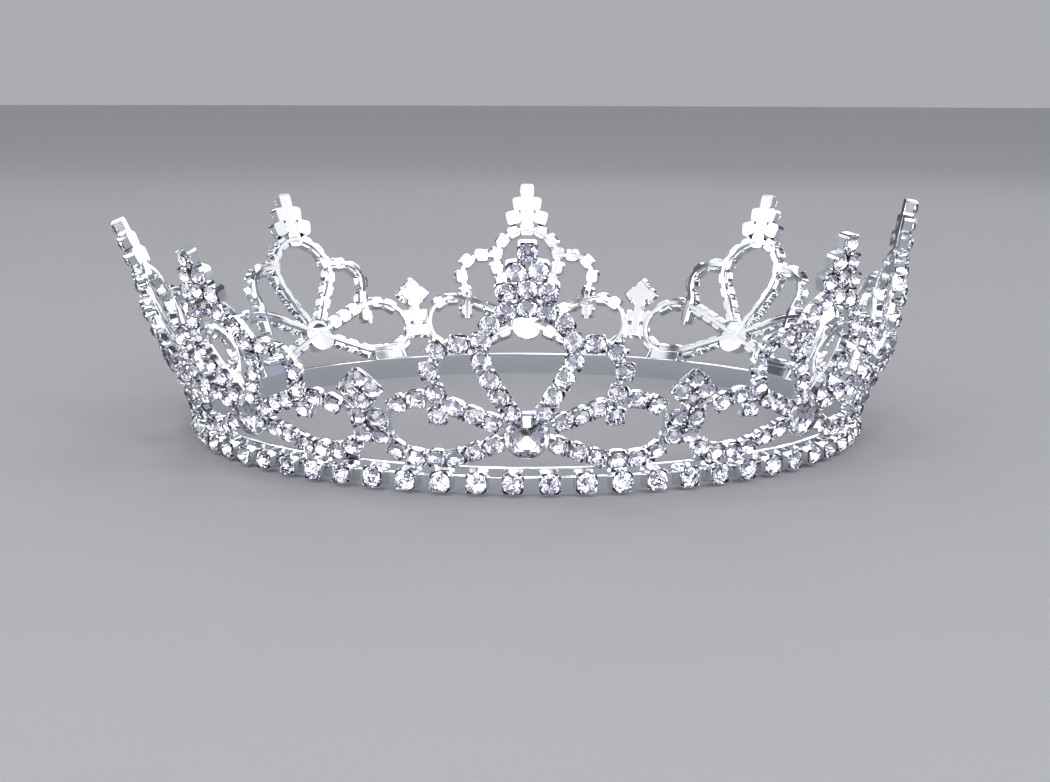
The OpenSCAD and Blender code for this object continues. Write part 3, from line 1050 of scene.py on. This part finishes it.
class CROWN_OT_clusters(bpy.types.Operator):
    """Models the soldered cluster of cups and stones between each two peaks"""
    bl_idname = "crown.clusters"
    bl_label = "Clusters"

    def execute(self, context):
        size = sizes()
        back_v, back_d, back_w, back_t = CLUSTER_BACK
        cup = model_cup(size.cup_w / MM, CLUSTER_CUP_BACK, CUP_RIM, CLAW)
        stone = model_stone(size.stone_r / MM, GIRDLE_D, PEAK_CROWN_SLOPE,
                            CLUSTER_STONE_FOOT)
        for k in range(PEAKS):
            turn, form = (k + 0.5) * TURN, (LOW_LEAN, 0.0)
            rng = random.Random(CLUSTER_SEED + k)
            cup_places, stone_places = [], []
            for u, v, spin in CLUSTER_CUPS:
                cup_places.append(seat(turn, form, u, v, math.radians(spin)))
                stone_places.append(seat(turn, form, u, v, rng.uniform(0, math.tau),
                                         jitter(rng, STONE_JITTER)))
            stem = model_plate(CLUSTER_STEM, CLUSTER_STEM_OUT)
            back = add(bpy.ops.mesh.primitive_cube_add, size=1.0,
                       scale=(back_w, back_w, back_t), location=(0, 0, back_d))
            apply_modifier(back, "BEVEL", width=STRIP_EDGE, segments=2)
            lay_on_face(stem.data, turn, form)
            back.data.transform(seat(turn, form, 0, back_v, math.pi / 4))
            metal = join(f"cluster_metal_{k + 1}", [stem, back] + copies(cup, cup_places))
            finish_metal(metal, f"cluster_{k + 1}")
            stones = join(f"cluster_crystals_{k + 1}", copies(stone, stone_places))
            keep(stones, "clear_stone")
        scrap(cup, stone)
        return {"FINISHED"}


def add_lamp(name, place, side, power):
    light = bpy.data.lights.new(name, "AREA")
    light.shape = "RECTANGLE"
    light.size, light.size_y = side
    light.energy = power
    lamp = bpy.data.objects.new(name, light)
    bpy.context.collection.objects.link(lamp)
    lamp.location = place
    lamp.visible_camera = False
    ahead = Vector(LAMP_AIM) - Vector(place)
    lamp.rotation_euler = ahead.to_track_quat("-Z", "Y").to_euler()


def set_world(context):
    """Dim studio walls with bright panels. The camera sees the plain backdrop instead."""
    shade = colours()
    world = bpy.data.worlds.new("studio")
    context.scene.world = world
    world.use_nodes = True
    tree = world.node_tree
    seen = tree.nodes["Background"]
    seen.inputs["Color"].default_value = (*shade.backdrop, 1)
    panels = add_ramp(tree, add_cells(tree, PANEL_SCALE, "Generated")["Red"], PANEL_STOPS,
                      sharp=True)
    studio = tree.nodes.new("ShaderNodeBackground")
    studio.inputs["Strength"].default_value = PANEL_POWER
    tree.links.new(panels, studio.inputs["Color"])
    path = tree.nodes.new("ShaderNodeLightPath")
    mix = tree.nodes.new("ShaderNodeMixShader")
    tree.links.new(path.outputs["Is Camera Ray"], mix.inputs["Fac"])
    tree.links.new(studio.outputs["Background"], mix.inputs[1])
    tree.links.new(seen.outputs["Background"], mix.inputs[2])
    tree.links.new(mix.outputs["Shader"], tree.nodes["World Output"].inputs["Surface"])


class CROWN_OT_stage(bpy.types.Operator):
    """Lays the plain floor, sets the soft lights and the camera"""
    bl_idname = "crown.stage"
    bl_label = "Stage"

    def execute(self, context):
        floor = add(bpy.ops.mesh.primitive_circle_add, vertices=96, radius=FLOOR_R,
                    fill_type="NGON", location=(0, 0, 0))
        floor.name = "floor"
        floor.data.materials.append(pale_floor())

        for name, reach, gap, radius, height, side, power in LAMP_ARCS:
            for step in range(-reach, reach + 1):
                turn = step * math.radians(gap)
                place = (radius * math.sin(turn), -radius * math.cos(turn), height)
                add_lamp(f"{name}_{step + reach + 1}", place, side, power)
        for name, place, side, power in LAMPS:
            add_lamp(name, place, side, power)
        set_world(context)

        down, turn, roll = (math.radians(a) for a in (EYE_DOWN, EYE_TURN, EYE_ROLL))
        ahead = Vector((math.sin(turn) * math.cos(down), math.cos(turn) * math.cos(down),
                        -math.sin(down)))
        right = Vector((math.cos(turn), -math.sin(turn), 0))
        up = right.cross(ahead)
        tilted_right = math.cos(roll) * right + math.sin(roll) * up
        tilted_up = math.cos(roll) * up - math.sin(roll) * right
        lens = bpy.data.cameras.new("camera")
        lens.sensor_width = SENSOR
        lens.sensor_fit = "HORIZONTAL"
        lens.lens = FOCUS_PX / PHOTO_W * SENSOR
        lens.clip_start = 0.01
        lens.clip_end = 50.0
        camera = bpy.data.objects.new("camera", lens)
        context.collection.objects.link(camera)
        camera.location = Vector(EYE) * MM
        camera.rotation_euler = Matrix((tilted_right, tilted_up, -ahead)).transposed().to_euler()
        context.scene.camera = camera
        context.scene.view_settings.view_transform = "Standard"
        return {"FINISHED"}


class CROWN_PT_pieces(bpy.types.Panel):
    bl_idname = "CROWN_PT_pieces"
    bl_label = "Rhinestone crown"
    bl_space_type = "VIEW_3D"
    bl_region_type = "UI"
    bl_category = "Crown"

    def draw(self, context):
        layout = self.layout
        for group in (context.scene.crown_sizes, context.scene.crown_colours):
            for name in group.__annotations__:
                layout.prop(group, name)
        for piece in STEPS:
            layout.operator(piece.bl_idname)


STEPS = (CROWN_OT_band, CROWN_OT_peaks, CROWN_OT_clusters, CROWN_OT_stage)
CLASSES = (CrownSizes, CrownColours, *STEPS, CROWN_PT_pieces)


def register():
    for cls in CLASSES:
        bpy.utils.register_class(cls)
    bpy.types.Scene.crown_sizes = PointerProperty(type=CrownSizes)
    bpy.types.Scene.crown_colours = PointerProperty(type=CrownColours)


def unregister():
    del bpy.types.Scene.crown_colours
    del bpy.types.Scene.crown_sizes
    for cls in reversed(CLASSES):
        bpy.utils.unregister_class(cls)


def main():
    register()
    bpy.ops.crown.band()
    bpy.ops.crown.peaks()
    bpy.ops.crown.clusters()
    bpy.ops.crown.stage()


if __name__ == "__main__":
    main()
